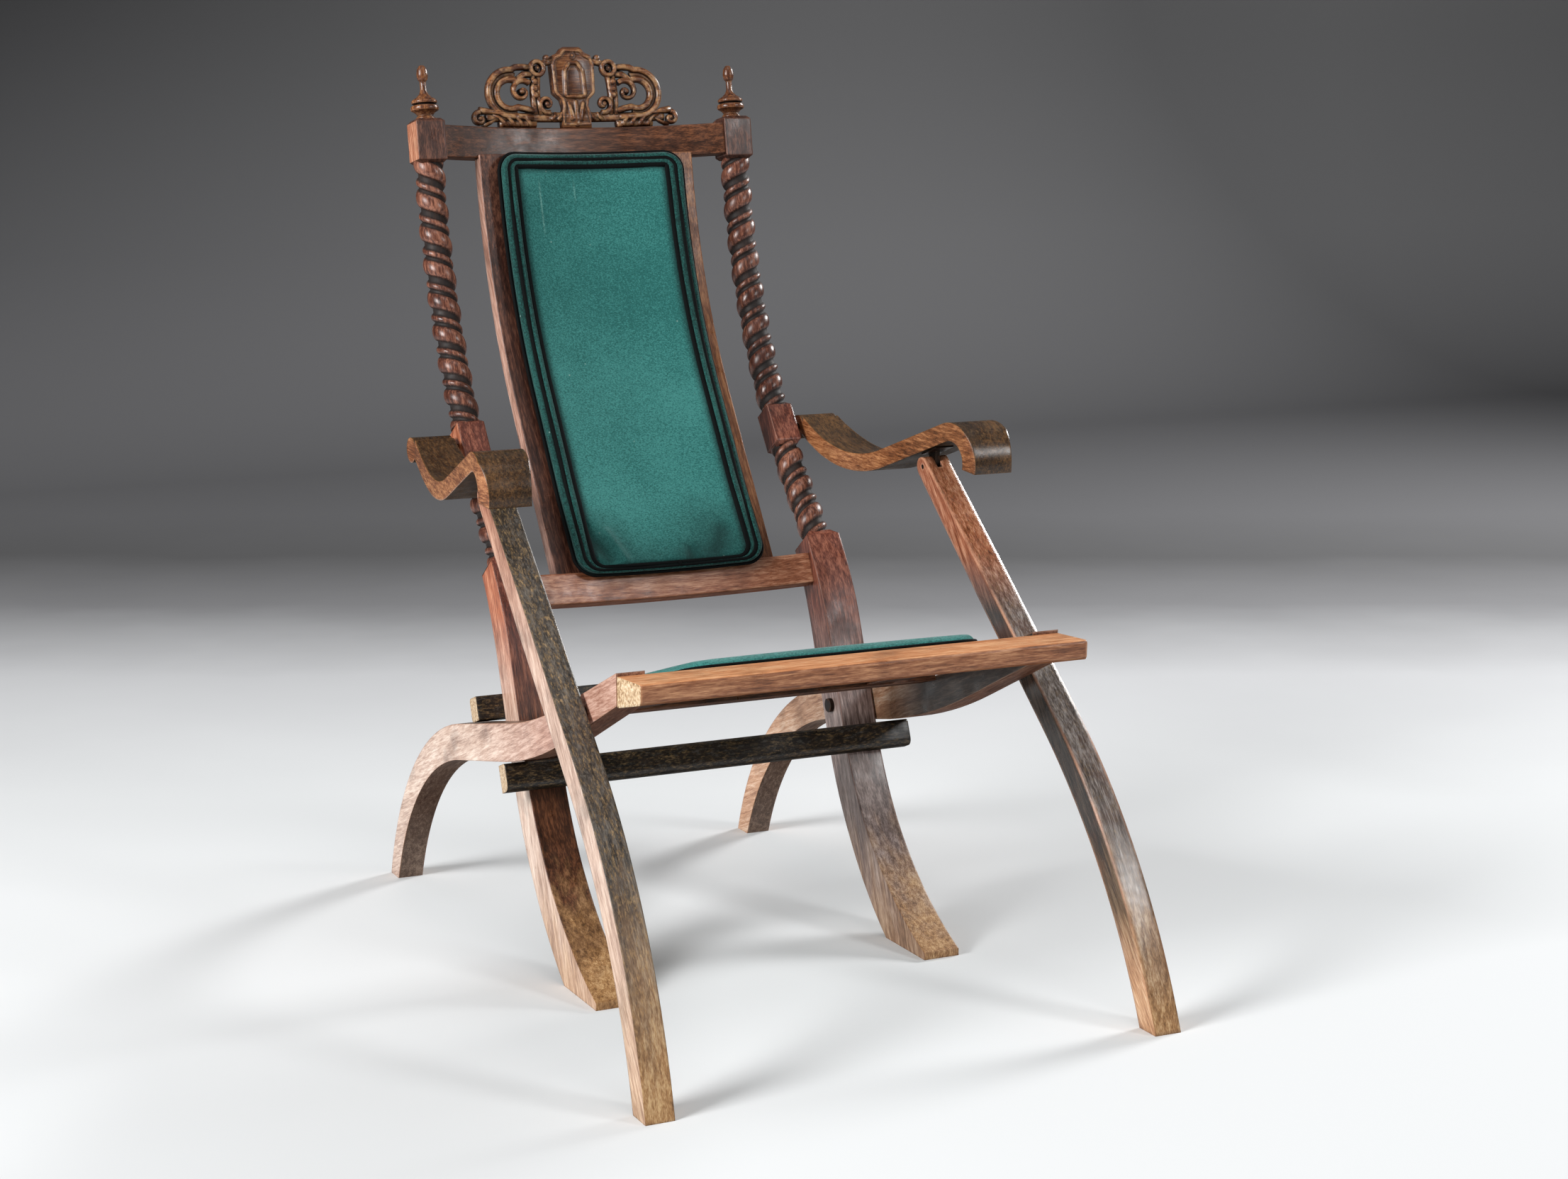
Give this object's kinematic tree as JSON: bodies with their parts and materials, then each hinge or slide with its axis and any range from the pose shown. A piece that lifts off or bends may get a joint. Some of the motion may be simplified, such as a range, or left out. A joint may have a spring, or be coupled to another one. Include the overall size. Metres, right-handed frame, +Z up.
{
  "type": "folding campaign chair",
  "caption": "Reclining folding armchair with barley-twist back posts, carved cresting, sabre and arched legs, and upholstered seat and back panels.",
  "frame": {"origin": "floor level under the middle of the chair's bounding box", "axes": "+Z up, the chair faces -Y, +X is the right-hand side seen from the front"},
  "size_m": [0.6936, 1.0252, 1.114],
  "materials": {
    "mahogany": "satin polish",
    "teal_wool": "woven wool",
    "iron": "blackened"
  },
  "bodies": {
    "seat_frame": {"left_seat_rail": "mahogany", "right_seat_rail": "mahogany", "seat_front_rail": "mahogany", "seat_rear_rail": "mahogany", "left_seat_stile": "mahogany", "right_seat_stile": "mahogany", "seat_pad": "teal_wool", "left_seat_pivot": "iron", "right_seat_pivot": "iron", "left_rail_washer": "iron", "right_rail_washer": "iron"},
    "back_frame": {"left_post": "mahogany", "right_post": "mahogany", "left_finial": "mahogany", "right_finial": "mahogany", "top_rail": "mahogany", "crest": "mahogany", "lower_back_rail": "mahogany", "left_back_stile": "mahogany", "right_back_stile": "mahogany", "back_pad": "teal_wool", "front_stretcher": "mahogany", "rear_stretcher": "mahogany", "left_arm_pivot": "iron", "right_arm_pivot": "iron"},
    "left_arm": {"left_arm": "mahogany", "left_arm_hinge": "iron"},
    "left_leg": {"left_front_leg": "mahogany", "left_hinge_pin": "iron", "left_leg_bolt": "iron"},
    "right_arm": {"right_arm": "mahogany", "right_arm_hinge": "iron"},
    "right_leg": {"right_front_leg": "mahogany", "right_hinge_pin": "iron", "right_leg_bolt": "iron"}
  },
  "joints": [
    {"name": "back_fold", "type": "hinge", "parent": "seat_frame", "child": "back_frame", "pos_m": [0, 0.109, 0.2705], "axis": [1, 0, 0], "range_deg": [0, 70]},
    {"name": "left_arm_turn", "type": "hinge", "parent": "back_frame", "child": "left_arm", "pos_m": [-0.27, 0.3165, 0.608], "axis": [1, 0, 0], "range_deg": [-84, 0]},
    {"name": "left_leg_turn", "type": "hinge", "parent": "left_arm", "child": "left_leg", "pos_m": [-0.2945, 0.02, 0.589], "axis": [1, 0, 0], "range_deg": [0, 103.6]},
    {"name": "right_arm_turn", "type": "hinge", "parent": "back_frame", "child": "right_arm", "pos_m": [0.27, 0.3165, 0.608], "axis": [1, 0, 0], "range_deg": [-84, 0]},
    {"name": "right_leg_turn", "type": "hinge", "parent": "right_arm", "child": "right_leg", "pos_m": [0.2945, 0.02, 0.589], "axis": [1, 0, 0], "range_deg": [0, 103.6]}
  ],
  "couplings": [
    {"joint": "left_arm_turn", "follows": "back_fold", "ratio": -1.2},
    {"joint": "left_leg_turn", "follows": "back_fold", "ratio": 1.48},
    {"joint": "right_arm_turn", "follows": "back_fold", "ratio": -1.2},
    {"joint": "right_leg_turn", "follows": "back_fold", "ratio": 1.48}
  ]
}
